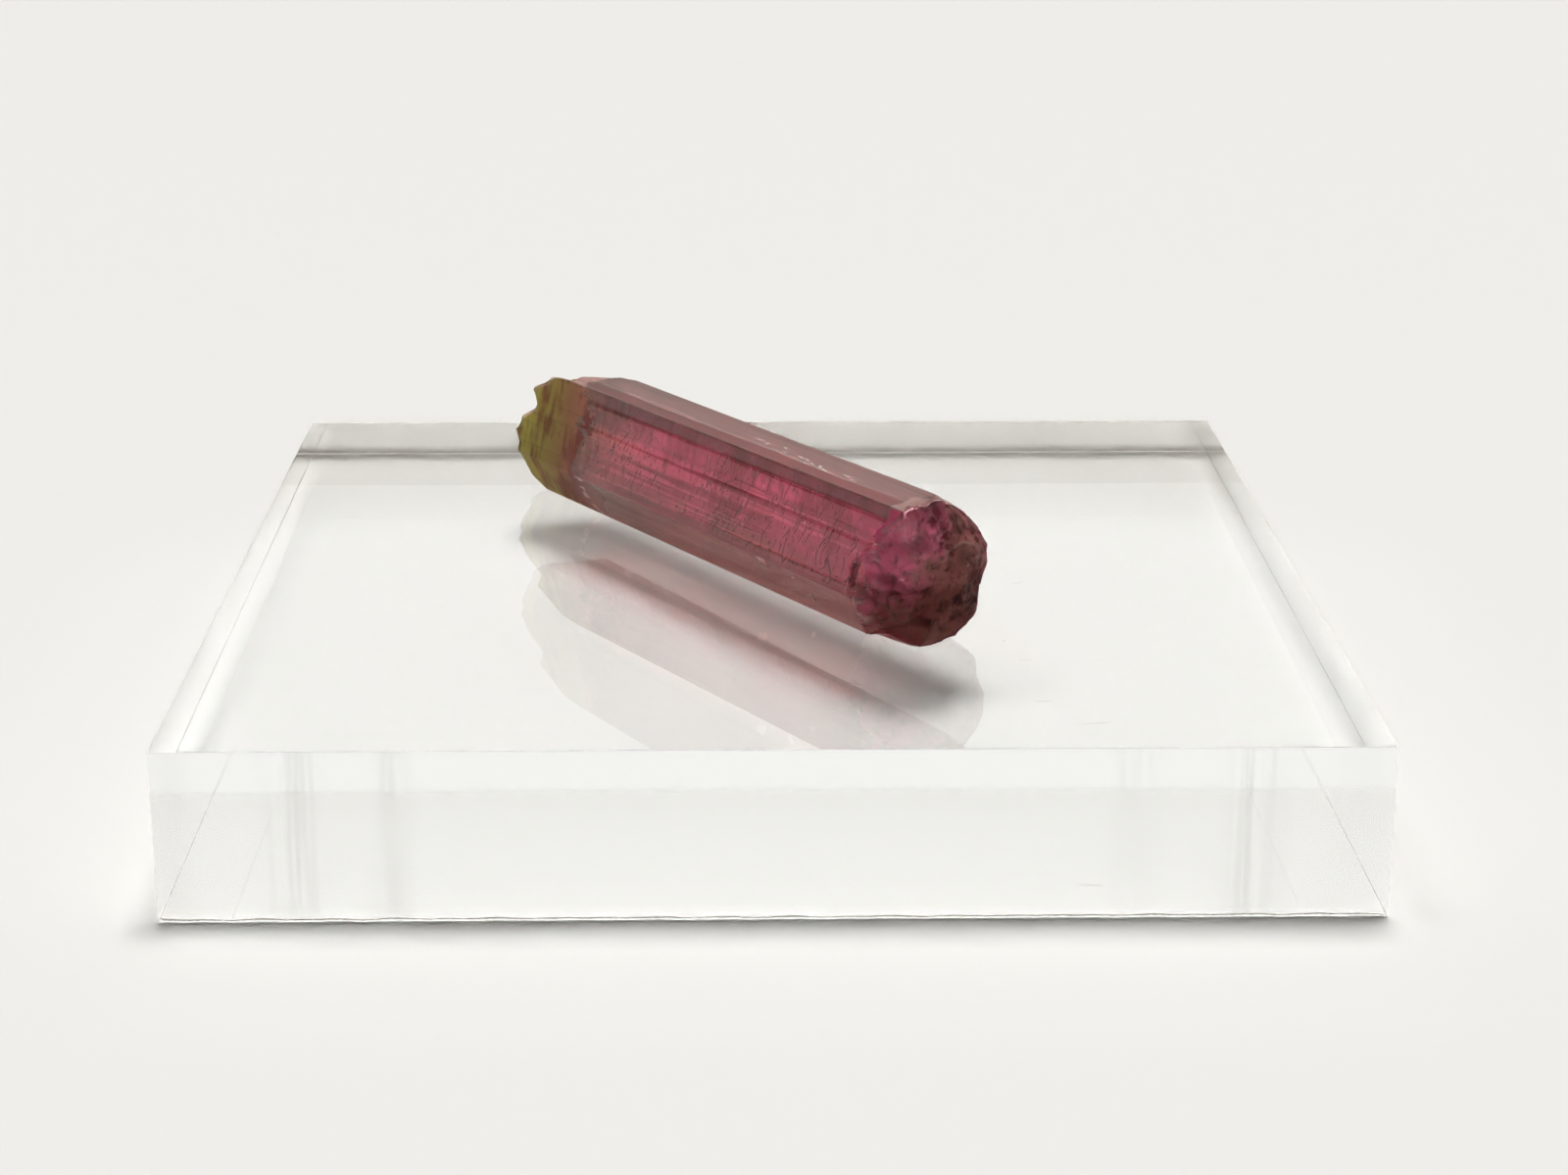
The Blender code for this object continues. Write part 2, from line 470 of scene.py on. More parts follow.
def see_through(name, colour, roughness, ior):
    """A clear material, its Principled shader and a handle for adding nodes."""
    material = bpy.data.materials.new(name)
    material.use_nodes = True
    shader = material.node_tree.nodes["Principled BSDF"]
    shader.inputs["Base Color"].default_value = colour
    shader.inputs["Roughness"].default_value = roughness
    shader.inputs["IOR"].default_value = ior
    shader.inputs["Transmission Weight"].default_value = 1.0
    return material, shader, Shade(material.node_tree)


def add_absorption(material, colour, density):
    tree = material.node_tree
    inside = tree.nodes.new("ShaderNodeVolumeAbsorption")
    inside.inputs["Color"].default_value = colour
    inside.inputs["Density"].default_value = density
    tree.links.new(inside.outputs[0], tree.nodes["Material Output"].inputs["Volume"])


class CrystalSpot:
    """A point of the crystal's surface, as sockets: its place in mm, its noise and where it lies."""

    def __init__(self, nodes):
        self.place = nodes.node("ShaderNodeTexCoord", outlet="Object")
        self.along, self.across, self.height = (self.place.part(axis) * (1 / MM) for axis in "XYZ")
        self.up = nodes.node("ShaderNodeTexCoord", outlet="Normal").part("Z")
        self.broken = nodes.attribute("broken").clipped()
        self.stain = nodes.attribute("stain")
        self.cloud = self.place.noise(CLOUD_SCALE, 6.0) - 0.5
        self.bands = self.place.noise(BAND_SCALES, 5.0) - 0.5
        self.grain = self.place.noise(GRAIN_SCALE, 5.0) - 0.5
        self.top = self.up.fade(0.35, 0.683)
        self.under = self.up.fade(-0.15, -0.4)
        self.tip = self.along.fade(27.5, 31.5)
        self.below = (self.height - self.cloud * 1.5).fade(3.9, 3.186)


def zone_colours(look, spot):
    """The colour that changes along the crystal, by a ramp over places in mm."""
    stops = (
        (-5.0, look.mauve),
        (2.0, look.mauve),
        (6.0, look.rose),
        (21.0, look.rose),
        (27.0, WARM_ROSE),
        (29.3, RUSSET),
        (31.0, look.brown),
        (33.5, MOSS),
        (37.5, look.olive),
    )
    length = ZONES_TO - ZONES_FROM
    shares = [((place - ZONES_FROM) / length, colour) for place, colour in stops]
    share = (spot.along - ZONES_FROM) * (1 / length) + spot.cloud * 0.05
    return share.node("ShaderNodeValToRGB", {"stops": shares}, {"Fac": share})


def side_colour(spot, zones, clearness):
    """Colour of the prism's sides: mottled zones, a top painted greyer as a painted sheen, bevels painted
    paler as a painted reflection, and an underside and the top of the front face darkened as painted shade.
    """
    mottle = (spot.bands * 3.8 + spot.cloud * 5.4 + 0.35).clipped()
    colour = mottle.blend(zones, zones.tinted(MOTTLE_TINT))
    # painted sheen: the top faces are made greyer, as if they reflected the pale walls
    colour = spot.top.blend(colour, PAINTED_TOP_SHEEN)
    colour = (spot.below * (1 - spot.under) * (1 - spot.tip) * 0.5).blend(colour, LOWER_FRONT)
    # the under bevels are painted paler as a painted reflection of the pale block and paper below; a finish
    # that lets less light through shows more of its own colour, so the bevel is darkened
    shade = (clearness / BODY_CLEARNESS) ** 1.8
    bevel = (*(share * shade for share in PAINTED_BEVEL_SHEEN), 1.0)
    colour = (spot.under * 0.9 * (1 - spot.tip * 0.8)).blend(colour, bevel)
    # painted shade: the underside that faces the block is darkened, which deepens the crystal's shadow and
    # its reflection in the block
    colour = spot.up.fade(-0.6, -0.85).blend(colour, PAINTED_UNDERSIDE_SHADE)
    # painted shade towards the top edge of the front face
    shoulder = (spot.height + spot.cloud * 2.0).fade(6.6, 7.85) * (1 - spot.top) * (1 - spot.tip)
    return (shoulder * 0.7).blend(colour, colour.tinted(SHOULDER_SHADE_TINT))


def torn_colour(spot, zones):
    """Colour of the broken ends, with the near one's veil, pits and veins."""
    left = (spot.across + spot.height * 0.4 + spot.cloud * 8.0).fade(0.6, 1.85)
    near = (spot.along + spot.cloud * 2.25).fade(4.0, -5.0)
    colour = near.blend(zones, left.blend(TORN_BROWN, TORN_PINK))
    veil = (spot.grain * 3.0 - spot.cloud * 4.0 + 0.1).clipped()
    colour = (veil * 0.7).blend(colour, left.blend(VEIL_BROWN, VEIL_PINK))
    pitted = ((spot.grain + spot.cloud) * 6.0).clipped() * (near * 0.75 + 0.25)
    colour = pitted.blend(colour, colour.tinted(PIT_TINT))
    wobble = spot.place.noise(WOBBLE_SCALE, 3.0, "Color")
    warped = wobble.node(
        "ShaderNodeVectorMath", {"operation": "MULTIPLY_ADD"},
        {0: wobble, 1: (WOBBLE_REACH, WOBBLE_REACH, WOBBLE_REACH), 2: spot.place}, "Vector")
    crackle = warped.node(
        "ShaderNodeTexVoronoi", {"feature": "DISTANCE_TO_EDGE"}, {"Vector": warped, "Scale": CRACKLE_SCALE})
    veins = (1 - crackle * 9.0).clipped() * (spot.cloud * 8.0 - 0.1).clipped() * near
    return (veins * 0.5).blend(colour, left.blend(VEIN_BROWN, VEIN_PINK))


def tourmaline_finish(look, name, clearness, frost, gloss):
    """Zoned colour along the crystal, dull top faces painted greyer as a painted sheen, fine lines, rough
    broken ends, and painted shade and painted highlights.
    """
    material, shader, nodes = see_through(name, look.rose, 0.12, TOURMALINE_IOR)
    shader.inputs["Transmission Weight"].default_value = clearness
    shader.inputs["Specular Tint"].default_value = (gloss, gloss * 0.95, gloss * 0.9, 1.0)
    spot = CrystalSpot(nodes)
    zones = zone_colours(look, spot)
    colour = spot.broken.blend(side_colour(spot, zones, clearness), torn_colour(spot, zones))
    # painted shade: the broken ends are darker low down
    colour = (spot.broken * spot.below * 0.8).blend(colour, colour.tinted(LOW_END_SHADE_TINT))
    # stain numbers of the mesh: below 0, dull streaks and the painted shade of the end's bumps darken the
    # colour; above 0, painted highlights on edges, glints and the ridge make it pale
    colour = (spot.stain * -1.0).clipped().blend(colour, colour.tinted(DARK_STAIN_AND_SHADE_TINT))
    colour = spot.stain.clipped().blend(colour, PAINTED_HIGHLIGHT)
    nodes.feed(shader.inputs["Base Color"], colour)
    roughness = spot.cloud * 0.12 + (0.05 + frost) + spot.top * 0.3
    roughness = roughness + spot.under * 0.2 + spot.tip * 0.2 + spot.broken * 0.25
    nodes.feed(shader.inputs["Roughness"], roughness.clipped())
    lines = spot.place.noise(LINE_SCALES, 3.0)
    relief = lines * (1 - spot.broken) + spot.grain * spot.broken * 12.0
    bump = nodes.node(
        "ShaderNodeBump", None, {"Strength": 0.3, "Distance": 0.015 * MM, "Height": relief}, "Normal")
    nodes.feed(shader.inputs["Normal"], bump)
    add_absorption(material, *TOURMALINE_ABSORPTION)
    return material


def acrylic_finish():
    """Clear sheet, polished on top and under it, with duller sawn sides and their upright tool marks."""
    material, shader, nodes = see_through("acrylic", CLEAR_SHEET, 0.0, ACRYLIC_IOR)
    place = nodes.node("ShaderNodeTexCoord", outlet="Object")
    side = 1 - abs(nodes.node("ShaderNodeTexCoord", outlet="Normal").part("Z"))
    marks = place.noise(MARK_SCALES, 4.0)
    nodes.feed(shader.inputs["Roughness"], (side * (marks * 0.12 + 0.02)).clipped())
    # on a side face one of the two is half the block's width, so the smaller runs along the face
    from_middle = nodes.maths("MINIMUM", abs(place.part("X")), abs(place.part("Y"))) * (1 / MM)
    beside_mark = abs(from_middle - MARK_PLACE)
    streaks = marks.fade(0.42, 0.62) * beside_mark.fade(2.0, 0.0) * side
    nodes.feed(shader.inputs["Base Color"], streaks.blend(CLEAR_SHEET, MARK_GREY))
    add_absorption(material, *ACRYLIC_ABSORPTION)
    return material


def scraped_finish():
    """The block's scraped edges, dull and speckled."""
    material, shader, nodes = see_through("scraped_acrylic", SCRAPED, 0.45, ACRYLIC_IOR)
    shader.inputs["Transmission Weight"].default_value = 0.6
    grain = nodes.node("ShaderNodeTexCoord", outlet="Object").noise(2500.0, 3.0)
    nodes.feed(shader.inputs["Roughness"], 0.25 + grain * 0.4)
    nodes.feed(shader.inputs["Base Color"], grain.fade(0.35, 0.6).blend(SCRAPED_DARK, SCRAPED_LIGHT))
    add_absorption(material, *ACRYLIC_ABSORPTION)
    return material


def solid_finish(name, colour, other, roughness):
    """An opaque material, mottled between two colours."""
    material = bpy.data.materials.new(name)
    material.use_nodes = True
    shader = material.node_tree.nodes["Principled BSDF"]
    shader.inputs["Roughness"].default_value = roughness
    nodes = Shade(material.node_tree)
    grain = nodes.node("ShaderNodeTexCoord", outlet="Object").noise(900.0, 3.0)
    nodes.feed(shader.inputs["Base Color"], grain.blend(colour, other))
    return material


def finished_mesh(shape, name):
    mesh = bpy.data.meshes.new(name)
    shape.to_mesh(mesh)
    shape.free()
    return mesh


def closed_mesh(shape, name):
    """A mesh of closed forms, with all faces turned outwards."""
    bmesh.ops.recalc_face_normals(shape, faces=shape.faces)
    return finished_mesh(shape, name)


def join_loops(shape, first, second):
    """The faces between two closed rows of as many points."""
    count = len(first)
    corners = [(first[i], first[(i + 1) % count], second[(i + 1) % count], second[i]) for i in range(count)]
    return [shape.faces.new(four) for four in corners]


def read_rim(rim, angle):
    """The rim's place along the axis in a direction in degrees, eased from point to point."""
    turned = (angle - rim[0][0]) % 360 + rim[0][0]
    closed = rim + ((rim[0][0] + 360, rim[0][1]),)
    for (start, before), (end, after) in zip(closed, closed[1:]):
        if turned <= end:
            return before + (after - before) * smooth_step((turned - start) / (end - start))
    return rim[0][1]


def section_outline(step_length, groove_depth):
    """Points round the prism in mm, each with its outward direction and its distance round."""
    points = []
    walked = 0.0
    following = SECTION_CORNERS[1:] + SECTION_CORNERS[:1]
    for start, end in zip(SECTION_CORNERS, following):
        along = Vector(end) - Vector(start)
        outward = Vector((along.y, -along.x)).normalized()
        steps = max(2, round(along.length / step_length))
        for step in range(steps):
            share = step / steps
            place = walked + along.length * share
            from_edge = min(share, 1 - share) * along.length
            groove = noise.noise(Vector((place * GROOVES_PER_MM, 0.0, 0.0)))
            groove *= smooth_step(from_edge / GROOVE_FADE)
            spot = Vector(start) + along * share + outward * groove * groove_depth
            points.append((spot, outward, place))
        walked += along.length
    return points


def end_point(point, shrink, rim, peak, roundness):
    """A point of a broken end, the share shrink of the way from its centre to its rim."""
    centre = Vector(SECTION_CENTRE)
    reach = point - centre
    edge = read_rim(rim, math.degrees(math.atan2(reach.y, reach.x)))
    return peak + (edge - peak) * shrink**roundness, centre + reach * shrink


def streaks(place, along, round_per_mm, along_per_mm, seed):
    """Noise in -1 to 1, drawn out along the prism."""
    return noise.noise(Vector((place * round_per_mm, along * along_per_mm, seed)))


def growth_lines(place, along):
    """Fine lengthwise lines in -1 to 1, that fade in and out along the prism."""
    strength = max(0.0, 0.35 + 0.9 * streaks(place, along, 0.9, 0.12, 4.0))
    wide = streaks(place, along, 5.0, 0.01, 11.0)
    thin = streaks(place, along, 11.0, 0.02, 23.0)
    return strength * (wide + 0.6 * thin)


def broken_relief(place, wear, lump_height):
    """Height in mm of the worn surface over a smooth one, at a point in mm.

    wear is 0 on the prism's sides, 1 at the rim and 2 well inside the broken end.
    """
    coarse = noise.noise(place / LUMP_SPACING)
    medium = noise.noise(place / GRAIN_SPACING)
    relief = coarse * lump_height + medium * GRAIN_HEIGHT - WEAR_DEPTH
    # the ends rise and fall, while the prism's sides are only chipped inwards
    chipped = min(relief, 0.0) * min(wear, 1.0) ** 2
    inside = max(wear - 1.0, 0.0)
    return chipped + (relief - chipped) * inside


def rim_rounding(place, wear):
    """How far in mm a point is pulled in, to round the rim where the end meets the sides sharply."""
    rim, peak, _ = NEAR_END if place.x < MIDDLE else FAR_END
    reach = Vector((place.y, place.z)) - Vector(SECTION_CENTRE)
    edge = read_rim(rim, math.degrees(math.atan2(reach.y, reach.x)))
    sharpness = smooth_step(1.3 - abs(edge - peak) / 3.0)
    return RIM_PULL * sharpness * smooth_step(1 - abs(wear - 1.0))


def facets(place, size, tilt):
    """Relief in mm of flat chips of about one size, each tilted its own way."""
    nearest = noise.voronoi(place / size)[1][0]
    return noise.noise_vector(nearest * 7.3).dot(place / size - nearest) * tilt


def end_features(place):
    """Relief in mm of the near end's bumps, hollows and ridge at a point in mm, and their painted shade and
    painted highlights.
    """
    spot = Vector((place.y, place.z))
    relief = facets(place, 1.1, 0.22) + facets(place, 0.45, 0.08)
    stain = 0.0
    for sideways, height, radius, size in END_BUMPS:
        apart = (spot - Vector((sideways, height))).length / radius
        if apart < 1.5:
            strength = smooth_step(1.25 - apart * 0.85)
            glint = size > 0 and radius < GLINT_RADIUS
            relief += size * strength * (1.0 if size > 0 else HOLLOW_SHARE)
            # painted shade darkens each bump and hollow by its size, and small raised bumps are painted
            # pale as painted glints
            stain += (GLINT_HIGHLIGHT if glint else -abs(size) * BUMP_SHADE) * strength
    strength = smooth_step(1 - near_path(spot, END_RIDGE) / RIDGE_WIDTH)
    return relief + RIDGE_HEIGHT * strength, stain + RIDGE_HIGHLIGHT * strength


def face_highlights_and_streaks(spot, along, place):
    """Painted highlights on the prism's edges, standing for light caught by the edges and their pale chips,
    and dull streaks along its faces.
    """
    pale = 0.0
    for corner, width, strength in EDGE_HIGHLIGHTS:
        apart = (spot - Vector(SECTION_CORNERS[corner])).length
        fade = 0.5 + noise.noise(Vector((along * 0.55, corner * 7.0, 3.0)))
        pale = max(pale, smooth_step(1 - apart / width) * strength * min(max(fade, 0.15), 1.0))
    streak = streaks(place, along, 4.0, 0.06, 31.0) + 0.5 * streaks(place, along, 9.0, 0.1, 37.0)
    return pale - max(streak - 0.25, 0.0) * 0.7


def finish_at(spot):
    """Which of the crystal's finishes a point in mm has: 0 the body's, 1 the tip's, 2 the broken end's."""
    tip = TIP_START + 1.8 * noise.noise(spot / 1.3) + 1.2 * noise.noise(spot / 0.35)
    # seen from the front, the sight line passes further towards the tip inside the crystal
    tip += smooth_step((0.6 - spot.y) / 5.5) * 4.0
    if spot.y > 0.0:
        tip -= smooth_step((2.8 - spot.z) / 0.6) * (1.5 + 2.0 * noise.noise(spot / 0.5))
    if spot.x > tip:
        return 1
    broken = NEAR_BREAK + 0.9 * noise.noise(spot / 0.9) + max(0.0, spot.z - 4.5) * -0.5
    return 2 if spot.x < broken else 0


def crystal_mesh(look):
    shape = bmesh.new()
    wear_layer = shape.verts.layers.float.new("wear")
    stain_and_painted_light_layer = shape.verts.layers.float.new("stain")
    broken_layer = shape.verts.layers.float.new("broken")
    outline = section_outline(look.outline_step, look.groove_depth)

    def add_point(along, spot, wear, stain=0.0):
        vertex = shape.verts.new((along, spot[0], spot[1]))
        vertex[wear_layer] = wear
        vertex[stain_and_painted_light_layer] = stain
        vertex[broken_layer] = smooth_step((wear - 0.6) / 0.8)
        return vertex

    def add_end_rings(end, shares):
        return [[add_point(*end_point(spot, share, *end), 1.0 + smooth_step((1 - share) / RIM_SHARE))
                 for spot, _, _ in outline] for share in shares]

    shares = [ring / look.end_rings for ring in range(1, look.end_rings)]
    rings = add_end_rings(NEAR_END, shares)
    edges = [(end_point(spot, 1.0, *NEAR_END)[0], end_point(spot, 1.0, *FAR_END)[0])
             for spot, _, _ in outline]
    for ring in range(look.body_rings + 1):
        # rings crowd towards both ends, where the rims are worn
        share = 0.5 - 0.5 * math.cos(math.pi * ring / look.body_rings)
        row = []
        for (spot, outward, place), (start, finish) in zip(outline, edges):
            along = start + (finish - start) * share
            clear = min(along - start, finish - along)
            lined = spot + outward * growth_lines(place, along) * look.line_depth
            # painted highlights along the edges, and dull streaks
            stain = face_highlights_and_streaks(spot, along, place)
            row.append(add_point(along, lined, 1 - smooth_step(clear / WEAR_REACH), stain))
        rings.append(row)
    rings += add_end_rings(FAR_END, reversed(shares))
    for first, second in zip(rings, rings[1:]):
        join_loops(shape, first, second)
    for row, end in ((rings[0], NEAR_END), (rings[-1], FAR_END)):
        tip = add_point(end[1], SECTION_CENTRE, 2.0)
        for i in range(len(row)):
            shape.faces.new((row[i], row[(i + 1) % len(row)], tip))
    bmesh.ops.recalc_face_normals(shape, faces=shape.faces)
    shape.normal_update()
    moves = []
    for vertex in shape.verts:
        wear = vertex[wear_layer]
        relief = broken_relief(vertex.co, wear, look.lump_height)
        if wear > 0.0:
            relief -= rim_rounding(vertex.co, wear)
        if vertex.co.x < END_REACH and wear > 0.0:
            # the near end's bumps, hollows and ridge, with their painted shade and painted highlights
            raised, stain = end_features(vertex.co)
            share = smooth_step(wear)
            relief += raised * share
            vertex[stain_and_painted_light_layer] = vertex[stain_and_painted_light_layer] * (1 - share) + stain * share
        moves.append((vertex, vertex.normal * relief))
    for vertex, move in moves:
        vertex.co = (vertex.co + move) * MM
        vertex.co.z = max(vertex.co.z, REST_FILM)
    mesh = finished_mesh(shape, "tourmaline")
    mesh.shade_smooth()
    mesh.set_sharp_from_angle(angle=math.radians(35))
    for face in mesh.polygons:
        face.material_index = finish_at(face.center / MM)
    return mesh


def add_piece(name, mesh, material):
    mesh.materials.append(material)
    piece = bpy.data.objects.new(name, mesh)
    bpy.context.scene.collection.objects.link(piece)
    return piece


def lay_on_block(piece):
    piece.location = CRYSTAL_FOOT
    piece.rotation_euler = (0.0, 0.0, CRYSTAL_TURN)
    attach(piece, "root")


class SPECIMEN_OT_crystal(bpy.types.Operator):
    """Builds the crystal with its growth lines and broken ends"""

    bl_idname = "specimen.crystal"
    bl_label = "Crystal"

    def execute(self, context):
        look = context.scene.crystal_look
        body, tip, broken = (tourmaline_finish(look, *finish) for finish in CRYSTAL_FINISHES)
        piece = add_piece("tourmaline", crystal_mesh(look), body)
        piece.data.materials.append(tip)
        piece.data.materials.append(broken)
        lay_on_block(piece)
        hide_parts("tourmaline_crystal")
        return {"FINISHED"}


def front_face(height, depth):
    """Sideways place in mm, a depth under the front face at a height."""
    low, high = Vector(SECTION_CORNERS[2]), Vector(SECTION_CORNERS[3])
    share = (height - low.y) / (high.y - low.y)
    return low.x + (high.x - low.x) * share - depth


def add_sliver(shape, path, width, inward):
    """A closed sliver along a path in mm, thickest midway, that reaches inward from it."""
    rows = []
    last = len(path) - 1
    for i, spot in enumerate(path):
        run = (path[min(i + 1, last)] - path[max(i - 1, 0)]).normalized()
        side = run.cross(inward).normalized()
        swell = width * math.sin(math.pi * (i + 0.5) / (last + 1))
        deep = inward * swell * SLIVER_DEPTH
        proud = inward * swell * SLIVER_RISE
        corners = (spot + side * swell, spot + deep, spot - side * swell, spot - proud)
        rows.append([shape.verts.new(corner * MM) for corner in corners])
    for first, second in zip(rows, rows[1:]):
        join_loops(shape, first, second)
    shape.faces.new(rows[0])
    shape.faces.new(reversed(rows[-1]))


def wandering(ends, steps, wobble, seed):
    """Points along straight runs between path points, each moved a little."""
    points = []
    for start, end in zip(ends, ends[1:]):
        for step in range(steps):
            spot = start.lerp(end, step / steps)
            points.append(spot + noise.noise_vector(spot * 2.3 + Vector((seed, 0, 0))) * wobble)
    points.append(ends[-1])
    return points


def under_front(along, height, depth):
    return Vector((along, front_face(height, depth), height))


def flaws_mesh():
    """Dark cracks and specks inside the crystal, close under its front face."""
    shape = bmesh.new()
    draw = random.Random(7)
    inward = Vector((0, -1, 0))
    crack_depth = 0.045
    for seed, path in enumerate(CROSS_CRACKS):
        ends = [under_front(*spot, crack_depth) for spot in path]
        add_sliver(shape, wandering(ends, 5, 0.08, seed), 0.05, inward)
    for seed, path in enumerate(LONG_CRACKS):
        ends = [under_front(*spot, crack_depth) for spot in path]
        add_sliver(shape, wandering(ends, 10, 0.015, seed), 0.03, inward)
    for along, height in DARK_SPECKS:
        tall = draw.uniform(0.1, 0.2)
        ends = [under_front(along - 0.3 * tall, height + tall, crack_depth),
                under_front(along + 0.3 * tall, height - tall, crack_depth)]
        add_sliver(shape, wandering(ends, 4, 0.05, along), 0.07, inward)
    for _ in range(FLECK_COUNT):
        along = draw.choice(
            (draw.uniform(0, 9), draw.gauss(13.5, 1.5), draw.gauss(24, 2), draw.uniform(0, 30)))
        height = draw.uniform(2.8, 7.9)
        tall = draw.uniform(0.04, 0.2) if draw.random() < 0.8 else draw.uniform(0.2, 0.6)
        lean = draw.gauss(0.35, 0.25)
        depth = draw.choice((0.03, 0.04, 0.3, 0.8))
        ends = [under_front(along - lean * tall, height + tall, depth),
                under_front(along + lean * tall, height - tall, depth)]
        add_sliver(shape, wandering(ends, 3, 0.04, along), draw.uniform(0.018, 0.06), inward)
    return closed_mesh(shape, "flaws")


def chips_and_glints_mesh():
    """Pale chips and painted glints, and painted highlights of growth lines, on the top face, and pale
    lines and painted glints on the front face.
    """
    shape = bmesh.new()
    draw = random.Random(3)
    top = SECTION_CORNERS[4][1]
    down = Vector((0, 0, -0.4))
    inward = Vector((0, -1, 0))
    # pale chips, also painted glints on the top face
    for along, sideways, length in TOP_CHIPS_AND_GLINTS:
        for _ in range(3):
            start = Vector((
                along + draw.uniform(-0.4, 0.4), sideways + draw.uniform(-0.12, 0.12), top + 0.02))
            end = start + Vector((-length * draw.uniform(0.3, 0.8), draw.uniform(-0.08, 0.12), 0.0))
            add_sliver(shape, wandering([start, end], 4, 0.05, along), 0.05, down)
    for near, far, height in PALE_LINES:
        start = under_front(near, height, 0.03)
        end = start + Vector((far - near, 0.0, 0.06))
        add_sliver(shape, wandering([start, end], 8, 0.02, near), 0.011, inward)
    # painted highlights: pale lines along the top
    for near, far, sideways in TOP_HIGHLIGHT_LINES:
        ends = [Vector((near, sideways, top + 0.005)), Vector((far, sideways - 0.03, top + 0.005))]
        add_sliver(shape, wandering(ends, 10, 0.02, near), 0.014, down)
    # painted glints on the front face
    for along, height in FACE_GLINTS:
        ends = [under_front(along, height + 0.12, 0.02), under_front(along + 0.1, height - 0.12, 0.02)]
        add_sliver(shape, wandering(ends, 3, 0.03, along), 0.04, inward)
    return closed_mesh(shape, "chips_and_glints")


class SPECIMEN_OT_flaws(bpy.types.Operator):
    """Builds the dark cracks and specks inside the crystal, and the pale chips, painted glints and painted
    highlights on it
    """

    bl_idname = "specimen.flaws"
    bl_label = "Flaws"

    def execute(self, context):
        dark = solid_finish("wine_flaw", *WINE_FLAWS, 0.5)
        lay_on_block(add_piece("crystal_flaws", flaws_mesh(), dark))
        pale = solid_finish("pale_chip_and_glint", *PALE_CHIPS_AND_GLINTS, 0.3)
        lay_on_block(add_piece("crystal_chips_and_glints", chips_and_glints_mesh(), pale))
        return {"FINISHED"}


def block_mesh(look):
    """A square block whose scraped edges waver a little."""
    half = BLOCK_HIGH.x
    thickness = BLOCK_HIGH.z
    shape = bmesh.new()
    loops = []
    for level, inset_share in ((0, 1), (0, 0), (1, 0), (1, 1)):
        loop = []
        for side in range(4):
            turned = Matrix.Rotation(side * math.pi / 2, 2)
            for step in range(BLOCK_POINTS_PER_SIDE):
                across = -half + 2 * half * step / BLOCK_POINTS_PER_SIDE
                worn = noise.noise(Vector((across / WAVER_LENGTH, side * 5.1, level * 9.0)))
                width = look.chamfer * (0.8 + 0.5 * worn) * CHAMFER_SHARES[level][side]
                inset = width * inset_share
                along = max(-half + inset, min(half - inset, across))
                spot = turned @ Vector((along, -half + inset))
                height = thickness - width * (1 - inset_share) if level else width * (1 - inset_share)
                loop.append(shape.verts.new((spot.x, spot.y, height)))
        loops.append(loop)
    under_edge, sides, top_edge = (join_loops(shape, *pair) for pair in zip(loops, loops[1:]))
    for face in sides:
        face.material_index = 0
    for face in under_edge + top_edge:
        face.material_index = 1
    shape.faces.new(reversed(loops[0]))
    shape.faces.new(loops[-1])
    return closed_mesh(shape, "acrylic_block")


def scratches_mesh():
    """Fine scratches and specks that lie flat on the block's top."""
    shape = bmesh.new()
    top = BLOCK_HIGH.z / MM + 0.003
    for x, y, length, heading in BLOCK_SCRATCHES:
        middle = Vector((x, y, top))
        turn = math.radians(heading)
        reach = Vector((math.cos(turn), math.sin(turn), 0.0)) * length / 2
        path = wandering([middle - reach, middle + reach], 6, 0.06, x)
        for spot in path:
            spot.z = top
        add_sliver(shape, path, 0.03, Vector((0, 0, -0.2)))
    return closed_mesh(shape, "scratches")


class SPECIMEN_OT_block(bpy.types.Operator):
    """Builds the clear block with its scraped edges, tool marks and scratches"""

    bl_idname = "specimen.block"
    bl_label = "Block"

    def execute(self, context):
        mesh = block_mesh(context.scene.block_look)
        piece = add_piece("acrylic_block", mesh, acrylic_finish())
        mesh.materials.append(scraped_finish())
        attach(piece, "root")
        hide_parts("display_block")
        grey = solid_finish("scratch_grey", *SCRATCH_GREYS, 0.6)
        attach(add_piece("block_scratches", scratches_mesh(), grey), "root")
        return {"FINISHED"}


def add_camera(scene):
    """Stands the camera where the photograph was taken from."""
    pitch, yaw, roll = (math.radians(angle) for angle in CAMERA_ANGLES)
    level_reach = math.cos(pitch)
    forward = Vector((math.sin(yaw) * level_reach, math.cos(yaw) * level_reach, -math.sin(pitch)))
    level = forward.cross(Vector((0, 0, 1))).normalized()
    upright = level.cross(forward)
    right = level * math.cos(roll) + upright * math.sin(roll)
    up = upright * math.cos(roll) - level * math.sin(roll)
    lens = bpy.data.cameras.new("camera")
    lens.sensor_width = 36.0
    lens.lens = CAMERA_FOCAL_LENGTH
    lens.clip_start = 0.005
    camera = bpy.data.objects.new("camera", lens)
    camera.matrix_world = Matrix((right, up, -forward)).transposed().to_4x4()
    camera.location = Vector(CAMERA_PLACE) * MM
    scene.collection.objects.link(camera)
    scene.camera = camera


def add_floor(scene):
    shape = bmesh.new()
    bmesh.ops.create_grid(shape, x_segments=1, y_segments=1, size=PAPER_HALF_WIDTH)
    mesh = finished_mesh(shape, "floor")
    paper = bpy.data.materials.new("paper")
    paper.use_nodes = True
    shader = paper.node_tree.nodes["Principled BSDF"]
    shader.inputs["Base Color"].default_value = PAPER
    shader.inputs["Roughness"].default_value = 0.95
    mesh.materials.append(paper)
    floor = bpy.data.objects.new("floor", mesh)
    floor.location.z = -PAPER_GAP
    scene.collection.objects.link(floor)


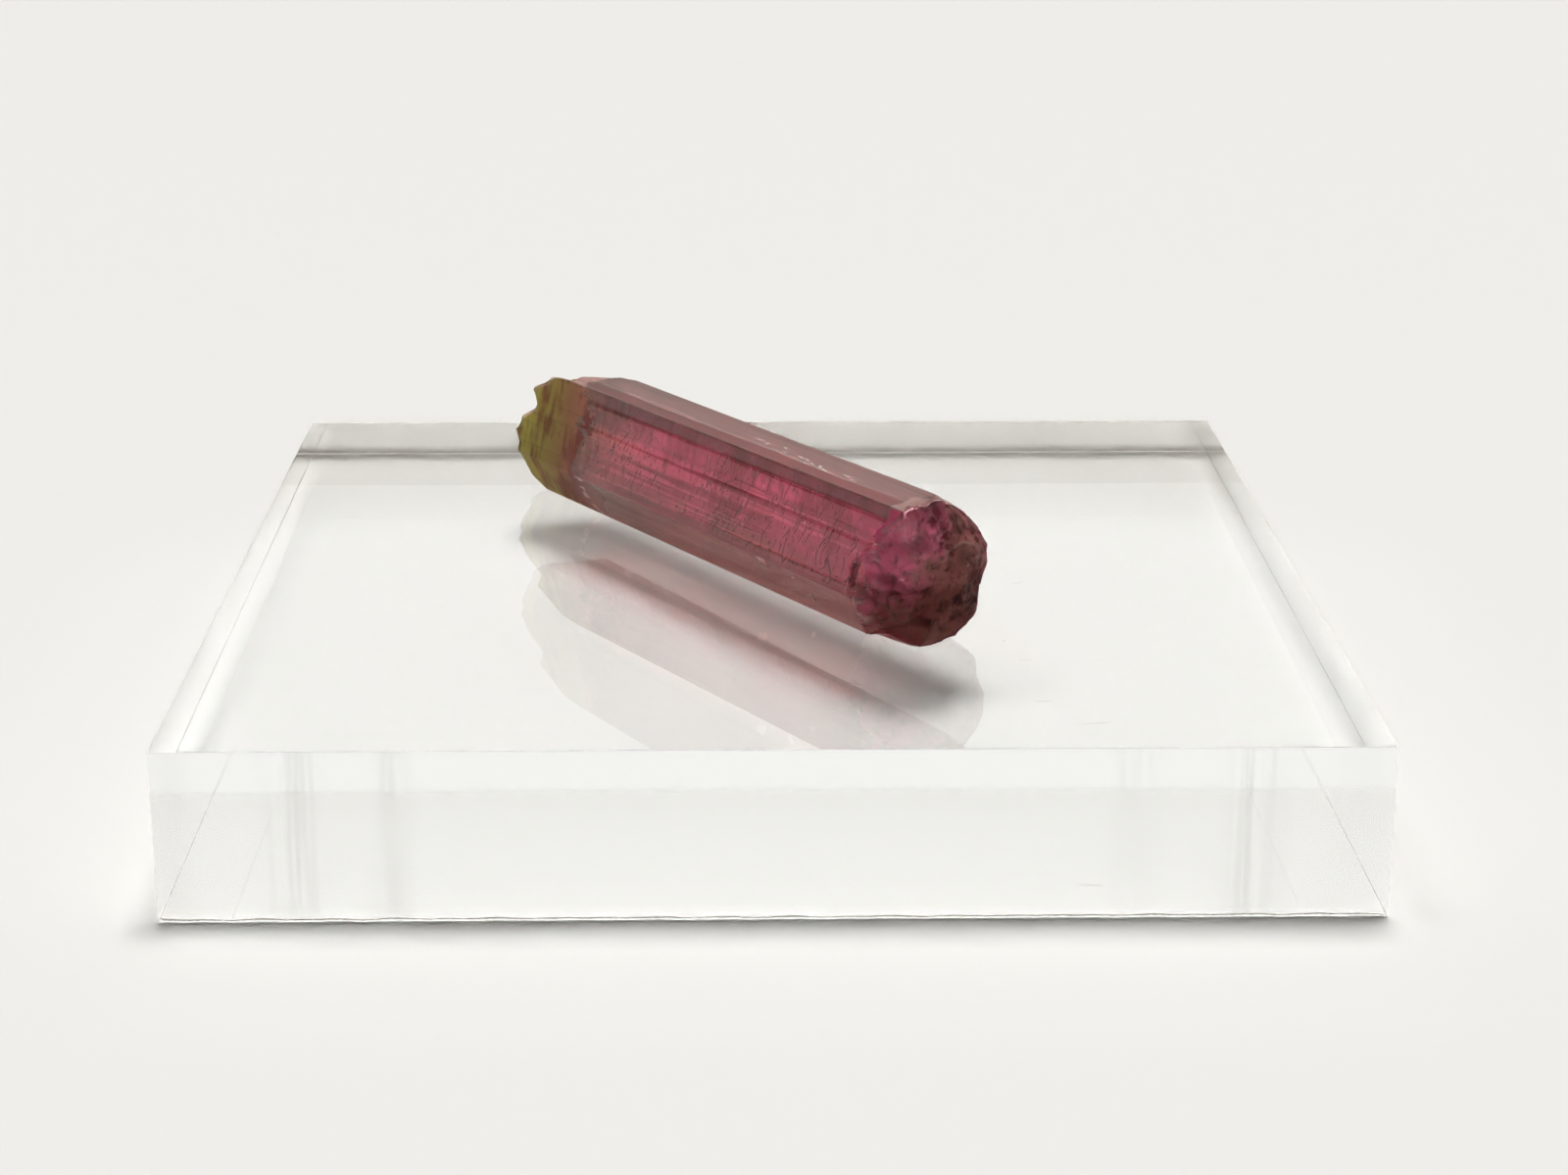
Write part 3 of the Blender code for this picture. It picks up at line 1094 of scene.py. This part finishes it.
def add_sky(scene, look):
    """Pale walls, brightest in a low band, under a dark ceiling with two round lamps in it."""
    world = bpy.data.worlds.new("studio")
    world.use_nodes = True
    nodes = Shade(world.node_tree)
    direction = nodes.node("ShaderNodeTexCoord", outlet="Generated")
    height = direction.part("Z")
    back_glow = nodes.node("ShaderNodeValToRGB", {"stops": BACK_WALL}, {"Fac": height})
    front_glow = nodes.node("ShaderNodeValToRGB", {"stops": FRONT_WALL}, {"Fac": height})
    glow = direction.part("Y").fade(-0.0625, 0.5625).blend(front_glow, back_glow)
    for towards, spread, brightness in LAMPS:
        facing = nodes.node(
            "ShaderNodeVectorMath", {"operation": "DOT_PRODUCT"},
            {0: direction, 1: Vector(towards).normalized()}, "Value")
        rim = math.cos(math.radians(spread))
        lamp = facing.fade(rim - LAMP_EDGE, rim + LAMP_EDGE)
        glow = lamp.blend(glow, (brightness, brightness, brightness, 1.0))
    sky = world.node_tree.nodes["Background"]
    nodes.feed(sky.inputs["Color"], glow)
    sky.inputs["Strength"].default_value = look.sky
    scene.world = world


class SPECIMEN_OT_stage(bpy.types.Operator):
    """Sets the floor, the light and the camera"""

    bl_idname = "specimen.stage"
    bl_label = "Stage"

    def execute(self, context):
        scene = context.scene
        add_camera(scene)
        add_floor(scene)
        add_sky(scene, scene.stage_look)
        scene.view_settings.view_transform = "Standard"
        scene.cycles.use_denoising = True
        scene.cycles.max_bounces = 20
        scene.cycles.transmission_bounces = 20
        scene.cycles.glossy_bounces = 8
        scene.cycles.blur_glossy = 0.0
        scene.cycles.sample_clamp_indirect = 0.0
        return {"FINISHED"}


OPERATORS = (SPECIMEN_OT_crystal, SPECIMEN_OT_flaws, SPECIMEN_OT_block, SPECIMEN_OT_stage)


class SPECIMEN_PT_panel(bpy.types.Panel):
    """Lists the builders of the specimen's pieces"""

    bl_idname = "SPECIMEN_PT_panel"
    bl_label = "Specimen"
    bl_space_type = "VIEW_3D"
    bl_region_type = "UI"
    bl_category = "Specimen"

    def draw(self, context):
        for builder in OPERATORS:
            self.layout.operator(builder.bl_idname)


SETTINGS = {
    "crystal_look": CrystalSettings,
    "block_look": BlockSettings,
    "stage_look": StageSettings,
}
CLASSES = (*SETTINGS.values(), *OPERATORS, SPECIMEN_PT_panel)


def register():
    for entry in CLASSES:
        bpy.utils.register_class(entry)
    for name, group in SETTINGS.items():
        setattr(bpy.types.Scene, name, bpy.props.PointerProperty(type=group))


def unregister():
    for name in SETTINGS:
        delattr(bpy.types.Scene, name)
    for entry in reversed(CLASSES):
        bpy.utils.unregister_class(entry)


def main():
    register()
    bpy.ops.specimen.crystal()
    bpy.ops.specimen.flaws()
    bpy.ops.specimen.block()
    bpy.ops.specimen.stage()


if __name__ == "__main__":
    main()
